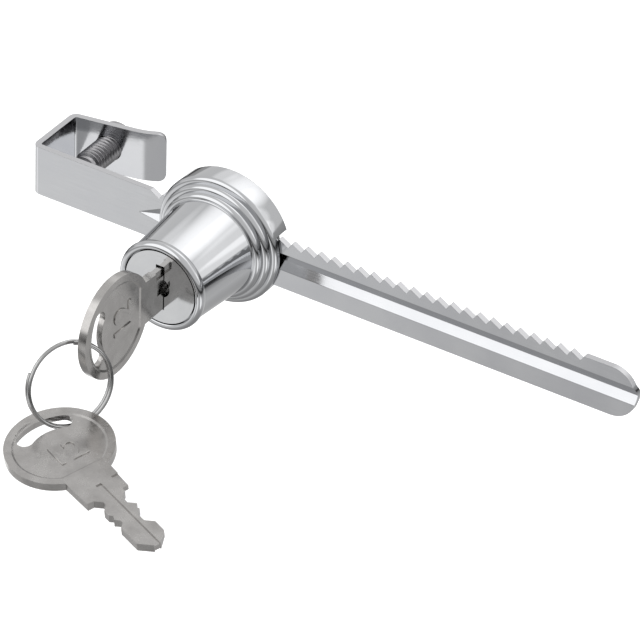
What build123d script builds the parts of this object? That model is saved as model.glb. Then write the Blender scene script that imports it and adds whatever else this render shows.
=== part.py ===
from build123d import *
import math
import os

# Ratchet lock for the sliding glass doors of a cabinet, in millimetres.
# A toothed bar hooks round the edge of one glass door and is held by a clamp screw.
# The lock slides along the bar, and its pawl drops into the teeth when the key turns.
# Origin: where the glass sits on the hook's front leg, on the clamp screw's axis.
# X runs along the bar to its free end, Y goes from the front to the back, Z is up.

os.makedirs("parts", exist_ok=True)

# Ratchet bar, one bent strip
BAR_WIDTH = 12.0
BAR_THICK = 1.4
BAR_END = 142.4
HOOK_REACH = 9.0
JAW_DEPTH = 13.05
BEND_RADIUS = 0.5
LEG_LEAN = 10.3
LEG_STRAIGHT = 13.1
FLARE_RADIUS = 16.0
FLARE_ANGLE = 26.0
LEG_CORNER = 2.0
TOOTH_PITCH = 3.28
TOOTH_DEPTH = 1.35
TOOTH_FLANK = 0.88
TOOTH_LAND = 0.15
TOOTH_COUNT = 33
FIRST_TIP = 21.5
RIB_TOP = 2.7
RIB_CREST = 0.6
RIB_BOTTOM = -1.5
RIB_DEPTH = 1.0
RIB_POINT_AT = 19.0
RIB_FULL_AT = 27.0
RIB_POINT_HEIGHT = -0.5
RIB_POINT_SHARE = 0.04

# Clamp screw, with its thread left plain
SCREW_RADIUS = 3.0
SCREW_TIP = 5.6
SCREW_HEAD_CHAMFER = 0.5
SCREW_HEAD_RADIUS = 4.5
SCREW_HEAD_UNDER = 16.85
SCREW_HEAD_HEIGHT = 2.1
SCREW_SLOT_WIDTH = 1.2
SCREW_SLOT_DEPTH = 1.1
SCREW_SLOT_TURN = 35.0
THREAD_GAP = 0.05

# Lock housing: radii from the lock's axis, places along Y
PAWL_OFFSET = 0.56
LOCK_GAP = 5
LOCK_Z = 0.9
FRONT_Y = -24.6
RIM_WALL = 1.7
RIM_ROUND = 1.0
RIM_LENGTH = 2.2
BARREL_FRONT_RADIUS = 10.15
BARREL_BACK_RADIUS = 11.2
BEAD_1_RADIUS = 12.45
BEAD_2_RADIUS = 13.7
CAP_RADIUS = 15.0
BEAD_1_Y = -6.0
BEAD_2_Y = -4.5
CAP_Y = -3.05
STEP_ROUND = 0.9
CAP_REAR_Y = 2.6

# Running gaps and walls
RUNNING_GAP = 0.05
SLIDE_GAP = 0.15
HEAD_GAP = 0.14

# Channel for the bar, pocket for the pawl
CHANNEL_GAP = 0.2
BROACH_WALL = 0.4
COVER_THICK = 1.4
COVER_RADIUS = 12.45
COVER_SCREW_REACH = 10.3
COVER_SCREW_ANGLES = (52.0, 236.0)
COVER_SCREW_RADIUS = 1.0
COVER_SCREW_HEAD = 1.9
COVER_SCREW_LENGTH = 5.6

# Plug
PLUG_FACE_Y = -24.4
PLUG_RADIUS = 6.5
PLUG_HEAD_LEDGE = 2.16
PLUG_HEAD_THICK = 2.35
CORE_HOLE_RADIUS = 2.42
PLUG_REAR_Y = -2.75
CLIP_GROOVE_RADIUS = 5.6
CLIP_RADIUS = 7.6
CLIP_THICK = 0.45
CLIP_LIP = 0.4
CLIP_OPENING = 80.0
CLIP_SPACE = 0.3
STOP_WALL = 0.6
STOP_RADIUS = 0.6
STOP_DEPTH = 1.0
STOP_ANGLE = 215.0
KEY_TURN = 90.0

# Drive pin and pawl
PIN_RADIUS = 0.9
PIN_THROW = 1.13
PIN_SEAT = 1.1
PIN_GAP = 0.06
PAWL_TEETH = 3
PAWL_CLEAR = 0.3
PAWL_HEAD_HEIGHT = 2.7
PAWL_STEM_HALF = 3.1
PAWL_TAIL = 0.6
TOOTH_FIT = 0.1
SPRING_SPACE = 2.5
PAWL_SPRING_RADIUS = 1.0
PAWL_SPRING_WIRE = 0.3
PAWL_SPRING_TURNS = 3
COIL_STEPS = 8

# Wafers
WAFER_COUNT = 5
WAFER_FIRST_Y = -20.9
WAFER_PITCH = 3.1
WAFER_THICK = 1.0
WAFER_GAP = 0.075
WAFER_WIDTH = 5.0
WAFER_TRAVEL = 0.8
WAFER_LUG_REACH = 1.8
WAFER_LUG_HEIGHT = 1.2
WAFER_SPRING_LENGTH = 2.9
WAFER_SPRING_RADIUS = 0.4
WAFER_SPRING_WIRE = 0.2
WAFER_SPRING_TURNS = 3

# Keys: lengths from the centre of the bow, heights from the blade's centre line
KEY_THICK = 1.9
KEY_BOW_Y = -41.65
NECK_OVERLAP = 0.5
BOW_RADIUS = 11.75
BOW_RIM = 1.65
FIELD_CHORD = 8.8
FIELD_DEPTH = 0.25
NECK_HALF = 5.25
SHOULDER = 18.6
SHOULDER_HALF = 5.0
BLADE_HALF = 3.35
BLADE_END = 37.4
BLADE_TIP_HALF = 0.8
BLADE_TIP_CHAMFER = 2.6
BITS_ABOVE = ((22.3, 1.9, 0.9), (25.6, 2.55, 0.2), (28.6, 1.7, 1.2))
BITS_BELOW = ((20.6, 2.1, 0.6), (25.1, 2.6, 0.2), (27.3, 2.2, 0.4))
BIT_SLOPE = 1.0
GROOVE_START = 14.9
GROOVE_WIDTH = 1.4
GROOVE_DEPTH = 0.35
RELIEF_START = 14.4
RELIEF_HALF = 3.4
RING_SLOT_AT = 7.2
RING_SLOT_HALF = 4.75
RING_SLOT_BOW = 1.2
RING_SLOT_WIDTH = 3.8
KEYWAY_GAP = 0.15

# Split ring: two flat turns of wire with a rise between them, drawn in short straight steps.
# Its wire passes the slots of both keys, at these angles of the ring and places in the slots.
RING_RADIUS = 9.35
RING_WIRE = 0.9
RING_TURN_GAP = 0.05
RING_TURN_STEPS = 40
RING_RISE_STEPS = 8
RING_KEY_ANGLE = 253.36
RING_SPARE_ANGLE = 86.41
KEY_WIRE_INSET = 0.734
KEY_WIRE_DROP = 2.137
SPARE_WIRE_INSET = -0.055
SPARE_WIRE_RISE = 2.472
RING_NORMAL = (0.8315, -0.5106, 0.2189)
RING_START = (-0.5498, -0.7003, 0.4552)


# Spare key, with its turns about X, Y and Z
SPARE_TURNS = (9.12, -0.32, -23.24)

# Places worked out from the sizes above
TOOTH_TOP = BAR_WIDTH / 2
SCREW_TOP_Y = SCREW_HEAD_UNDER + SCREW_HEAD_HEIGHT
LOCK_X = FIRST_TIP + (LOCK_GAP + 1) * TOOTH_PITCH - TOOTH_FLANK - PAWL_OFFSET
BAR_FRONT_Y = -BAR_THICK
CHANNEL_FRONT_Y = BAR_FRONT_Y - SLIDE_GAP
CHANNEL_HALF = BAR_WIDTH / 2 + CHANNEL_GAP
COVER_Y = CAP_REAR_Y - COVER_THICK
HEAD_BACK_Y = PLUG_FACE_Y + PLUG_HEAD_THICK
HEAD_SEAT_Y = HEAD_BACK_Y + RUNNING_GAP
PLUG_HEAD_RADIUS = PLUG_RADIUS + PLUG_HEAD_LEDGE
HEAD_BORE = PLUG_HEAD_RADIUS + HEAD_GAP
RIM_RADIUS = HEAD_BORE + RIM_WALL
STOP_REACH = PLUG_RADIUS + STOP_WALL + STOP_RADIUS
PLUG_BORE = PLUG_RADIUS + RUNNING_GAP
CLIP_REAR_Y = PLUG_REAR_Y - CLIP_LIP
CLIP_FRONT_Y = CLIP_REAR_Y - CLIP_THICK - RUNNING_GAP
CLIP_SEAT_Y = CLIP_FRONT_Y - RUNNING_GAP
CLIP_ROOM = CLIP_RADIUS + CLIP_SPACE
POCKET_FRONT_Y = PLUG_REAR_Y + RUNNING_GAP
PIN_RISE = PIN_THROW * math.sin(math.radians(KEY_TURN / 2))
PAWL_TRAVEL = 2 * PIN_RISE
PAWL_FRONT_Y = PLUG_REAR_Y + SLIDE_GAP
PAWL_BACK_Y = BAR_FRONT_Y - SLIDE_GAP / 2
PAWL_TIP_Z = TOOTH_TOP + PAWL_CLEAR
PAWL_TOP_Z = PAWL_TIP_Z + PAWL_HEAD_HEIGHT
PAWL_PIN_Z = LOCK_Z + PIN_RISE
PAWL_BOTTOM_Z = PAWL_PIN_Z - PIN_RADIUS - PAWL_TAIL
PAWL_LEFT_X = FIRST_TIP + (LOCK_GAP - 1) * TOOTH_PITCH + TOOTH_FIT
PAWL_RIGHT_X = PAWL_LEFT_X + PAWL_TEETH * TOOTH_PITCH - 2 * TOOTH_FIT
POCKET_TOP_Z = PAWL_TOP_Z + SPRING_SPACE
POCKET_BOTTOM_Z = PAWL_BOTTOM_Z - PAWL_TRAVEL - SLIDE_GAP
KEYWAY_WIDTH = KEY_THICK + 2 * KEYWAY_GAP
KEYWAY_END_Y = KEY_BOW_Y + BLADE_END + KEYWAY_GAP
SHOULDER_SEAT_Y = KEY_BOW_Y + SHOULDER + KEYWAY_GAP
BROACH_HALF = PLUG_RADIUS + WAFER_TRAVEL + SLIDE_GAP
WAFER_REACH = PLUG_RADIUS - RUNNING_GAP
WINDOW_HALF = BLADE_HALF + KEYWAY_GAP
WAFER_SIDE = WAFER_WIDTH / 2
RING_PITCH = RING_WIRE + RING_TURN_GAP


def square_plane(y, x=0.0, z=0.0):
    """Plane across the lock's axis at y, its own X along X, its Y along Z, facing the front."""
    return Plane(origin=(x, y, z), x_dir=(1, 0, 0), z_dir=(0, -1, 0))


LATHE_PLANE = Plane(origin=(LOCK_X, 0, LOCK_Z), x_dir=(1, 0, 0), z_dir=(0, 0, 1))
LOCK_AXIS = Axis((LOCK_X, 0, LOCK_Z), (0, 1, 0))


def finish_part(builder, name):
    """Label a finished piece and write its file."""
    builder.part.label = name
    export_step(builder.part, f"parts/{name}.step")


def rib_section(share, side_y):
    """Corners of the pressed rib's V, drawn at a share of its full size."""
    top = RIB_POINT_HEIGHT + share * (RIB_TOP - RIB_POINT_HEIGHT)
    crest = RIB_POINT_HEIGHT + share * (RIB_CREST - RIB_POINT_HEIGHT)
    bottom = RIB_POINT_HEIGHT + share * (RIB_BOTTOM - RIB_POINT_HEIGHT)
    return [(side_y, bottom), (side_y + share * RIB_DEPTH, crest), (side_y, top)]


# Ratchet bar
lean = math.radians(LEG_LEAN)
web_x = BAR_THICK / 2 - HOOK_REACH
leg_root_y = JAW_DEPTH + BAR_THICK / 2 / math.cos(lean) - BAR_THICK / 2 * math.tan(lean)
leg_end = (web_x + LEG_STRAIGHT + BAR_THICK / 2, leg_root_y + (LEG_STRAIGHT + BAR_THICK / 2) * math.tan(lean))

with BuildPart() as ratchet_bar:
    with BuildSketch(Plane.XY.offset(-BAR_WIDTH / 2)):
        with BuildLine():
            FilletPolyline(
                (BAR_END, -BAR_THICK / 2),
                (web_x, -BAR_THICK / 2),
                (web_x, leg_root_y),
                leg_end,
                radius=BEND_RADIUS + BAR_THICK / 2,
            )
            flare = JernArc(leg_end, (math.cos(lean), math.sin(lean)), FLARE_RADIUS, FLARE_ANGLE)
        trace(line_width=BAR_THICK)
    extrude(amount=BAR_WIDTH)
    flare_end = flare @ 1
    leg_tips = [
        edge
        for edge in ratchet_bar.edges().filter_by(GeomType.LINE)
        if abs((edge @ 0).Z - (edge @ 1).Z) < 0.01
        and abs(edge.length - BAR_THICK) < 0.01
        and (Vector(edge.center().X, edge.center().Y, 0) - Vector(flare_end.X, flare_end.Y, 0)).length < 0.1
    ]
    fillet(leg_tips, LEG_CORNER)
    for mode, side_y in ((Mode.ADD, 0.0), (Mode.SUBTRACT, BAR_FRONT_Y)):
        with BuildSketch(Plane.YZ.offset(RIB_FULL_AT)):
            with BuildLine():
                Polyline(*rib_section(1.0, side_y), close=True)
            make_face()
        extrude(amount=BAR_END - RIB_FULL_AT, mode=mode)
        with BuildSketch(Plane.YZ.offset(RIB_POINT_AT)):
            with BuildLine():
                Polyline(*rib_section(RIB_POINT_SHARE, side_y), close=True)
            make_face()
        with BuildSketch(Plane.YZ.offset(RIB_FULL_AT)):
            with BuildLine():
                Polyline(*rib_section(1.0, side_y), close=True)
            make_face()
        loft(ruled=True, mode=mode)
    with BuildSketch(Plane.XZ):
        for gap in range(TOOTH_COUNT):
            tip = FIRST_TIP + gap * TOOTH_PITCH
            with BuildLine():
                Polyline(
                    (tip + TOOTH_LAND, TOOTH_TOP),
                    (tip + TOOTH_PITCH - TOOTH_FLANK, TOOTH_TOP - TOOTH_DEPTH),
                    (tip + TOOTH_PITCH, TOOTH_TOP),
                    close=True,
                )
            make_face()
    extrude(amount=2 * BAR_THICK, both=True, mode=Mode.SUBTRACT)
    with BuildSketch(Plane.XZ):
        with Locations((BAR_END - BAR_WIDTH / 2, 0)):
            Rectangle(BAR_WIDTH, 2 * BAR_WIDTH, align=(Align.MIN, Align.CENTER))
            Circle(BAR_WIDTH / 2, mode=Mode.SUBTRACT)
    extrude(amount=2 * BAR_THICK, both=True, mode=Mode.SUBTRACT)
    with BuildSketch(square_plane(JAW_DEPTH - BAR_THICK)):
        Circle(SCREW_RADIUS + THREAD_GAP)
    extrude(amount=-(SCREW_HEAD_UNDER - JAW_DEPTH + BAR_THICK), mode=Mode.SUBTRACT)
finish_part(ratchet_bar, "ratchet_bar")

# Clamp screw
with BuildPart() as clamp_screw:
    with BuildSketch(Plane.XY):
        with BuildLine():
            Polyline(
                (0, SCREW_TIP),
                (SCREW_RADIUS, SCREW_TIP),
                (SCREW_RADIUS, SCREW_HEAD_UNDER),
                (SCREW_HEAD_RADIUS, SCREW_HEAD_UNDER),
                (SCREW_HEAD_RADIUS, SCREW_TOP_Y - SCREW_HEAD_CHAMFER),
                (SCREW_HEAD_RADIUS - SCREW_HEAD_CHAMFER, SCREW_TOP_Y),
                (0, SCREW_TOP_Y),
                close=True,
            )
        make_face()
    revolve(axis=Axis.Y)
    with BuildSketch(square_plane(SCREW_TOP_Y)):
        Rectangle(3 * SCREW_HEAD_RADIUS, SCREW_SLOT_WIDTH, rotation=SCREW_SLOT_TURN)
    extrude(amount=SCREW_SLOT_DEPTH, mode=Mode.SUBTRACT)
finish_part(clamp_screw, "clamp_screw")


def broach(half_width, half_length):
    """Sketch the two crossed grooves that the wafers spring into."""
    Rectangle(2 * half_width, 2 * half_length)
    Rectangle(2 * half_length, 2 * half_width)


def eased_corner(radius, front_y, ease):
    """Points round an outer corner, from its front face to its side, in two straight steps."""
    return [
        (radius - ease + ease * math.sin(turn), front_y + ease - ease * math.cos(turn))
        for turn in (math.radians(45 * step) for step in range(3))
    ]


# Lock housing, turned outline with its bores
with BuildPart() as lock_housing:
    with BuildSketch(LATHE_PLANE):
        with BuildLine():
            Polyline(
                (0, POCKET_FRONT_Y),
                (CLIP_ROOM, POCKET_FRONT_Y),
                (CLIP_ROOM, CLIP_SEAT_Y),
                (PLUG_BORE, CLIP_SEAT_Y),
                (PLUG_BORE, HEAD_SEAT_Y),
                (HEAD_BORE, HEAD_SEAT_Y),
                (HEAD_BORE, FRONT_Y + RIM_ROUND / 2),
                (HEAD_BORE + RIM_ROUND / 2, FRONT_Y),
                *eased_corner(RIM_RADIUS, FRONT_Y, RIM_ROUND),
                (BARREL_FRONT_RADIUS, FRONT_Y + RIM_LENGTH),
                (BARREL_BACK_RADIUS, BEAD_1_Y),
                *eased_corner(BEAD_1_RADIUS, BEAD_1_Y, STEP_ROUND),
                (BEAD_1_RADIUS, BEAD_2_Y),
                *eased_corner(BEAD_2_RADIUS, BEAD_2_Y, STEP_ROUND),
                (BEAD_2_RADIUS, CAP_Y),
                *eased_corner(CAP_RADIUS, CAP_Y, STEP_ROUND),
                (CAP_RADIUS, CAP_REAR_Y),
                (COVER_RADIUS + RUNNING_GAP, CAP_REAR_Y),
                (COVER_RADIUS + RUNNING_GAP, COVER_Y),
                (0, COVER_Y),
                close=True,
            )
        make_face()
    revolve(axis=LOCK_AXIS)
    with BuildSketch(square_plane(CHANNEL_FRONT_Y, LOCK_X)):
        Rectangle(3 * CAP_RADIUS, 2 * CHANNEL_HALF)
    extrude(amount=-2 * (CAP_REAR_Y - CHANNEL_FRONT_Y), mode=Mode.SUBTRACT)
    with BuildSketch(square_plane(POCKET_FRONT_Y)):
        with Locations((PAWL_LEFT_X - SLIDE_GAP, POCKET_BOTTOM_Z)):
            Rectangle(
                PAWL_RIGHT_X - PAWL_LEFT_X + 2 * SLIDE_GAP,
                POCKET_TOP_Z - POCKET_BOTTOM_Z,
                align=(Align.MIN, Align.MIN),
            )
    extrude(amount=-(COVER_Y - POCKET_FRONT_Y), mode=Mode.SUBTRACT)
    with BuildSketch(square_plane(CLIP_SEAT_Y, LOCK_X, LOCK_Z)):
        broach(WAFER_SIDE + 2 * WAFER_GAP, BROACH_HALF)
    extrude(amount=CLIP_SEAT_Y - HEAD_SEAT_Y - BROACH_WALL, mode=Mode.SUBTRACT)
    with BuildSketch(square_plane(COVER_Y, LOCK_X, LOCK_Z)):
        for angle in COVER_SCREW_ANGLES:
            with PolarLocations(COVER_SCREW_REACH, 1, start_angle=angle):
                Circle(COVER_SCREW_RADIUS)
    extrude(amount=COVER_SCREW_LENGTH - COVER_THICK + RUNNING_GAP, mode=Mode.SUBTRACT)
    with BuildSketch(square_plane(HEAD_SEAT_Y, LOCK_X, LOCK_Z)):
        with PolarLocations(STOP_REACH, 1, start_angle=STOP_ANGLE):
            Circle(STOP_RADIUS)
    extrude(amount=-2 * STOP_DEPTH, mode=Mode.SUBTRACT)
finish_part(lock_housing, "lock_housing")

# Pin that stops the plug after a quarter turn
with BuildPart() as stop_pin:
    with BuildSketch(square_plane(HEAD_SEAT_Y + 2 * STOP_DEPTH, LOCK_X, LOCK_Z)):
        with PolarLocations(STOP_REACH, 1, start_angle=STOP_ANGLE):
            Circle(STOP_RADIUS)
    extrude(amount=3 * STOP_DEPTH - 2 * RUNNING_GAP)
finish_part(stop_pin, "stop_pin")

# Rear cover and its countersunk screws
with BuildPart() as rear_cover:
    with BuildSketch(square_plane(COVER_Y, LOCK_X, LOCK_Z)):
        Circle(COVER_RADIUS)
    extrude(amount=-COVER_THICK)
    with Locations(Plane(origin=(LOCK_X, CAP_REAR_Y, LOCK_Z), x_dir=(1, 0, 0), z_dir=(0, 1, 0))):
        for angle in COVER_SCREW_ANGLES:
            with PolarLocations(COVER_SCREW_REACH, 1, start_angle=-angle):
                CounterSinkHole(COVER_SCREW_RADIUS, COVER_SCREW_HEAD, counter_sink_angle=90)
finish_part(rear_cover, "rear_cover")

with BuildPart() as cover_screws:
    for angle in COVER_SCREW_ANGLES:
        screw_x = LOCK_X + COVER_SCREW_REACH * math.cos(math.radians(angle))
        screw_z = LOCK_Z + COVER_SCREW_REACH * math.sin(math.radians(angle))
        with BuildSketch(Plane(origin=(screw_x, CAP_REAR_Y, screw_z), x_dir=(1, 0, 0), z_dir=(0, 0, 1))):
            with BuildLine():
                Polyline(
                    (0, 0),
                    (COVER_SCREW_HEAD, 0),
                    (COVER_SCREW_RADIUS, COVER_SCREW_RADIUS - COVER_SCREW_HEAD),
                    (COVER_SCREW_RADIUS, -COVER_SCREW_LENGTH),
                    (0, -COVER_SCREW_LENGTH),
                    close=True,
                )
            make_face()
        revolve(axis=Axis((screw_x, 0, screw_z), (0, 1, 0)))
finish_part(cover_screws, "cover_screws")

# Plug, with its keyway, wafer slots and spring pockets
wafer_places = [WAFER_FIRST_Y + place * WAFER_PITCH for place in range(WAFER_COUNT)]
wafer_sides = [1 if place % 2 == 0 else -1 for place in range(WAFER_COUNT)]
lug_top = WAFER_LUG_HEIGHT / 2

with BuildPart() as plug:
    with BuildSketch(LATHE_PLANE):
        with BuildLine():
            Polyline(
                (0, PLUG_FACE_Y),
                (PLUG_HEAD_RADIUS, PLUG_FACE_Y),
                (PLUG_HEAD_RADIUS, HEAD_BACK_Y),
                (PLUG_RADIUS, HEAD_BACK_Y),
                (PLUG_RADIUS, CLIP_FRONT_Y),
                (CLIP_GROOVE_RADIUS, CLIP_FRONT_Y),
                (CLIP_GROOVE_RADIUS, CLIP_REAR_Y),
                (PLUG_RADIUS, CLIP_REAR_Y),
                (PLUG_RADIUS, PLUG_REAR_Y),
                (0, PLUG_REAR_Y),
                close=True,
            )
        make_face()
    revolve(axis=LOCK_AXIS)
    face_plane = square_plane(PLUG_FACE_Y, LOCK_X, LOCK_Z)
    with BuildSketch(face_plane):
        Rectangle(KEYWAY_WIDTH, 2 * (BLADE_HALF + KEYWAY_GAP))
    extrude(amount=-(KEYWAY_END_Y - PLUG_FACE_Y), mode=Mode.SUBTRACT)
    with BuildSketch(face_plane):
        Rectangle(KEYWAY_WIDTH, 2 * (NECK_HALF + KEYWAY_GAP))
    extrude(amount=-(SHOULDER_SEAT_Y - PLUG_FACE_Y), mode=Mode.SUBTRACT)
    with BuildSketch(face_plane):
        Circle(CORE_HOLE_RADIUS)
    extrude(amount=-PLUG_HEAD_THICK, mode=Mode.SUBTRACT)
    for place_y, side in zip(wafer_places, wafer_sides):
        slot_plane = square_plane(place_y, LOCK_X, LOCK_Z)
        with BuildSketch(slot_plane):
            Rectangle(WAFER_WIDTH + 2 * WAFER_GAP, 3 * PLUG_RADIUS)
            with Locations((side * WAFER_SIDE, side * (lug_top + WAFER_TRAVEL + WAFER_GAP))):
                Rectangle(
                    WAFER_LUG_REACH + 2 * WAFER_GAP,
                    WAFER_LUG_HEIGHT + WAFER_SPRING_LENGTH + WAFER_TRAVEL + WAFER_GAP,
                    align=(Align.MIN, Align.MAX) if side > 0 else (Align.MAX, Align.MIN),
                )
        extrude(amount=WAFER_THICK / 2 + WAFER_GAP, both=True, mode=Mode.SUBTRACT)
    with BuildSketch(square_plane(HEAD_BACK_Y, LOCK_X, LOCK_Z)):
        with BuildLine() as stop_track:
            CenterArc((0, 0), STOP_REACH, STOP_ANGLE, KEY_TURN)
        SlotArc(stop_track.edge(), 2 * (STOP_RADIUS + RUNNING_GAP))
    extrude(amount=STOP_DEPTH, mode=Mode.SUBTRACT)
    with BuildSketch(square_plane(PLUG_REAR_Y, LOCK_X, LOCK_Z)):
        with PolarLocations(PIN_THROW, 1, start_angle=KEY_TURN / 2):
            Circle(PIN_RADIUS)
    extrude(amount=PIN_SEAT, mode=Mode.SUBTRACT)
finish_part(plug, "plug")

# Pin off the plug's centre that moves the pawl
with BuildPart() as drive_pin:
    with BuildSketch(square_plane(PAWL_BACK_Y, LOCK_X, LOCK_Z)):
        with PolarLocations(PIN_THROW, 1, start_angle=KEY_TURN / 2):
            Circle(PIN_RADIUS)
    extrude(amount=PAWL_BACK_Y - PLUG_REAR_Y + PIN_SEAT)
finish_part(drive_pin, "drive_pin")

# Open clip that keeps the plug in the housing
with BuildPart() as plug_clip:
    with BuildSketch(square_plane(CLIP_REAR_Y, LOCK_X, LOCK_Z)):
        Circle(CLIP_RADIUS)
        Circle(CLIP_GROOVE_RADIUS + RUNNING_GAP, mode=Mode.SUBTRACT)
        with BuildLine():
            Polyline(
                (0, 0),
                (2 * CLIP_RADIUS * math.sin(math.radians(CLIP_OPENING / 2)), -2 * CLIP_RADIUS),
                (-2 * CLIP_RADIUS * math.sin(math.radians(CLIP_OPENING / 2)), -2 * CLIP_RADIUS),
                close=True,
            )
        make_face(mode=Mode.SUBTRACT)
    extrude(amount=CLIP_THICK)
finish_part(plug_clip, "plug_clip")

# Pawl: a toothed head over the bar's edge and a slotted stem in front of the bar
with BuildPart() as pawl:
    with BuildSketch(square_plane(PAWL_FRONT_Y)):
        with Locations((PAWL_LEFT_X, PAWL_TIP_Z)):
            Rectangle(PAWL_RIGHT_X - PAWL_LEFT_X, PAWL_TOP_Z - PAWL_TIP_Z, align=(Align.MIN, Align.MIN))
        with Locations((LOCK_X, PAWL_BOTTOM_Z)):
            Rectangle(2 * PAWL_STEM_HALF, PAWL_TOP_Z - PAWL_BOTTOM_Z, align=(Align.CENTER, Align.MIN))
    extrude(amount=-(PAWL_BACK_Y - PAWL_FRONT_Y))
    with BuildSketch(square_plane(PAWL_BACK_Y)):
        with Locations((PAWL_LEFT_X, PAWL_TIP_Z)):
            Rectangle(PAWL_RIGHT_X - PAWL_LEFT_X, PAWL_TOP_Z - PAWL_TIP_Z, align=(Align.MIN, Align.MIN))
        for tooth in range(PAWL_TEETH + 1):
            tip = PAWL_LEFT_X - TOOTH_FIT + tooth * TOOTH_PITCH
            with BuildLine():
                Polyline(
                    (tip - TOOTH_FLANK - TOOTH_FIT, PAWL_TIP_Z),
                    (tip - TOOTH_FIT, PAWL_TIP_Z + TOOTH_DEPTH),
                    (tip + TOOTH_LAND, PAWL_TIP_Z + TOOTH_DEPTH),
                    (tip + TOOTH_PITCH - TOOTH_FLANK - TOOTH_FIT, PAWL_TIP_Z),
                    close=True,
                )
            make_face(mode=Mode.SUBTRACT)
    extrude(amount=PAWL_BACK_Y)
    with BuildSketch(square_plane(PAWL_FRONT_Y)):
        with Locations((LOCK_X + (PIN_THROW + PIN_RISE) / 2, PAWL_PIN_Z)):
            SlotOverall(
                PIN_THROW - PIN_RISE + 2 * PIN_RADIUS + 6 * PIN_GAP,
                2 * (PIN_RADIUS + PIN_GAP),
            )
    extrude(amount=-(PAWL_BACK_Y - PAWL_FRONT_Y), mode=Mode.SUBTRACT)
finish_part(pawl, "pawl")


def coil_spring(foot, length, radius, wire, turns):
    """Wind a spring of square wire upwards from its foot, in short straight steps."""
    steps = turns * COIL_STEPS
    points = []
    for step in range(steps + 1):
        turn = math.tau * step / COIL_STEPS
        level = wire / 2 + (length - wire) * step / steps
        points.append(Vector(*foot) + Vector(radius * math.cos(turn), radius * math.sin(turn), level))
    with BuildLine() as coil:
        Polyline(*points)
    start_plane = Plane(origin=points[0], x_dir=(1, 0, 0), z_dir=points[1] - points[0])
    with BuildSketch(start_plane) as section:
        Rectangle(wire, wire)
    sweep(section.sketch, path=coil.line, transition=Transition.RIGHT)


# Spring that presses the pawl down
with BuildPart() as pawl_spring:
    coil_spring(
        (LOCK_X, PAWL_FRONT_Y / 2, PAWL_TOP_Z),
        SPRING_SPACE,
        PAWL_SPRING_RADIUS,
        PAWL_SPRING_WIRE,
        PAWL_SPRING_TURNS,
    )
finish_part(pawl_spring, "pawl_spring")


def wafer_sketch(side):
    """Draw one wafer: rounded ends, a window for the blade, and a lug for its spring."""
    Rectangle(WAFER_WIDTH, 2 * WAFER_REACH)
    Circle(WAFER_REACH, mode=Mode.INTERSECT)
    with Locations((side * WAFER_SIDE, 0)):
        Rectangle(
            WAFER_LUG_REACH,
            WAFER_LUG_HEIGHT,
            align=(Align.MIN if side > 0 else Align.MAX, Align.CENTER),
        )
    with Locations((0, -side * WAFER_TRAVEL / 2)):
        Rectangle(KEYWAY_WIDTH + 2 * WAFER_GAP, 2 * WINDOW_HALF + WAFER_TRAVEL, mode=Mode.SUBTRACT)


for number, (place_y, side) in enumerate(zip(wafer_places, wafer_sides), start=1):
    with BuildPart() as wafer:
        with BuildSketch(square_plane(place_y, LOCK_X, LOCK_Z)):
            wafer_sketch(side)
        extrude(amount=WAFER_THICK / 2, both=True)
    finish_part(wafer, f"wafer_{number}")

for name, wanted in (("wafer_springs_up", 1), ("wafer_springs_down", -1)):
    with BuildPart() as wafer_springs:
        for place_y, side in zip(wafer_places, wafer_sides):
            if side == wanted:
                spring_x = LOCK_X + side * (WAFER_SIDE + WAFER_LUG_REACH / 2)
                spring_foot = -lug_top - WAFER_SPRING_LENGTH if side > 0 else lug_top
                coil_spring(
                    (spring_x, place_y, LOCK_Z + spring_foot),
                    WAFER_SPRING_LENGTH,
                    WAFER_SPRING_RADIUS,
                    WAFER_SPRING_WIRE,
                    WAFER_SPRING_TURNS,
                )
    finish_part(wafer_springs, name)


def bit_cut(place, floor, flat, side):
    """Cut one sloped notch in the blade's edge."""
    rise = BLADE_HALF + RUNNING_GAP - floor
    with BuildLine() as notch:
        Polyline(
            (place - flat, side * floor),
            (place + flat, side * floor),
            (place + flat + rise * BIT_SLOPE, side * (floor + rise)),
            (place - flat - rise * BIT_SLOPE, side * (floor + rise)),
            close=True,
        )
    make_face(notch.edges(), mode=Mode.SUBTRACT)


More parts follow.
